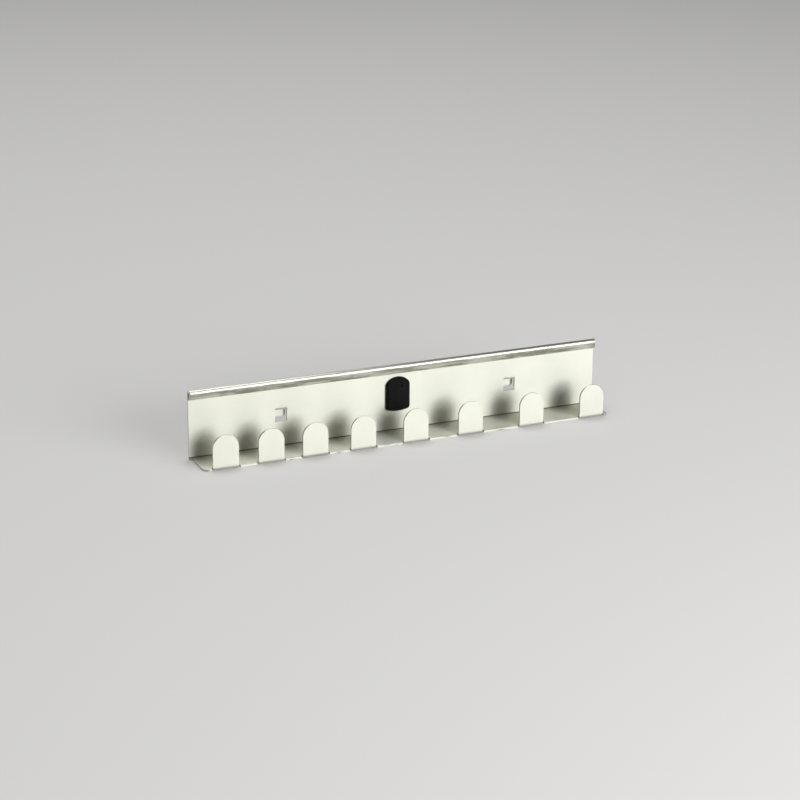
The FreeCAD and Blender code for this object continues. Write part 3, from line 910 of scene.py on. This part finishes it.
class BuildStage(bpy.types.Operator):
    """Set up the camera, a pale floor, a pale world and soft lamps"""

    bl_idname = "socket_holder.build_stage"
    bl_label = "Build the stage"

    def execute(self, context):
        stage = context.scene.holder_stage
        scene = context.scene
        scene.view_settings.view_transform = "Standard"
        self.add_floor(stage)
        self.add_world(scene, stage)
        self.add_camera(scene, stage)
        for name, place, target, width, height in LAMPS:
            add_lamp(name, place, target, width, height, getattr(stage, name))
        return {"FINISHED"}

    def add_floor(self, stage):
        """A flat disc under the shelf: points at even angles, as the floor's reach times (cosine, sine)."""
        angle = even(0, 2 * math.pi, FLOOR_SIDES)[:-1]
        ring = np.stack([np.cos(angle), np.sin(angle), np.zeros(FLOOR_SIDES)], axis=-1) * stage.floor_reach
        floor = make_object("floor", ring + [0, 0, UNDERSIDE], [list(range(FLOOR_SIDES))])
        floor.data.materials.append(painted_floor(stage))

    def add_world(self, scene, stage):
        """A pale room that darkens smoothly from the horizon to 37 degrees up, where its ceiling starts."""
        world = bpy.data.worlds.new("pale_room")
        world.use_nodes = True
        world.node_tree.nodes.clear()
        scene.world = world
        tree = world.node_tree
        place = add_node(tree, "ShaderNodeTexCoord")
        parts = add_node(tree, "ShaderNodeSeparateXYZ", links={"Vector": place.outputs["Object"]})
        # Heights of a direction of unit length: just over the horizon, and 37 degrees up.
        level = add_node(tree, "ShaderNodeMapRange",
                         {"interpolation_type": "SMOOTHSTEP", "From Min": 0.05, "From Max": 0.6,
                          "To Min": stage.horizon, "To Max": stage.ceiling},
                         {"Value": parts.outputs["Z"]})
        sky = add_node(tree, "ShaderNodeBackground", {"Color": (*DAYLIGHT, 1.0)},
                       {"Strength": level.outputs["Result"]})
        add_node(tree, "ShaderNodeOutputWorld", links={"Surface": sky.outputs["Background"]})

    def add_camera(self, scene, stage):
        """A camera at its place, turned to its target and then rolled about its view."""
        data = bpy.data.cameras.new("camera")
        data.sensor_width = 36.0
        data.lens = stage.camera_lens
        data.clip_start, data.clip_end = 0.01, 50.0
        camera = bpy.data.objects.new("camera", data)
        place, target = Vector(stage.camera_place), Vector(stage.camera_target)
        turn = (target - place).to_track_quat("-Z", "Y").to_matrix().to_4x4()
        camera.matrix_world = Matrix.Translation(place) @ turn @ Matrix.Rotation(-stage.camera_roll, 4, "Z")
        scene.collection.objects.link(camera)
        scene.camera = camera


class HolderPanel(bpy.types.Panel):
    """The holder's pieces, in the order that they are built"""

    bl_idname = "VIEW3D_PT_socket_holder"
    bl_label = "Socket Holder"
    bl_space_type = "VIEW_3D"
    bl_region_type = "UI"
    bl_category = "Socket Holder"

    def draw(self, context):
        for operator in OPERATORS:
            self.layout.operator(operator.bl_idname)


OPERATORS = (BuildStrip, BuildClip, BuildStage)
SETTINGS = {
    "holder_strip_sizes": StripSettings,
    "locking_clip_sizes": ClipSettings,
    "holder_finish": FinishSettings,
    "holder_stage": StageSettings,
}


def register():
    """Make the classes known to Blender, and give the scene their settings."""
    for item in (*SETTINGS.values(), *OPERATORS, HolderPanel):
        bpy.utils.register_class(item)
    for name, settings in SETTINGS.items():
        setattr(bpy.types.Scene, name, bpy.props.PointerProperty(type=settings))


def unregister():
    """Take back what register did."""
    for name in SETTINGS:
        delattr(bpy.types.Scene, name)
    for item in reversed((*SETTINGS.values(), *OPERATORS, HolderPanel)):
        bpy.utils.unregister_class(item)


def main():
    register()
    bpy.ops.socket_holder.build_strip()
    bpy.ops.socket_holder.build_clip()
    bpy.ops.socket_holder.build_stage()


if __name__ == "__main__":
    main()
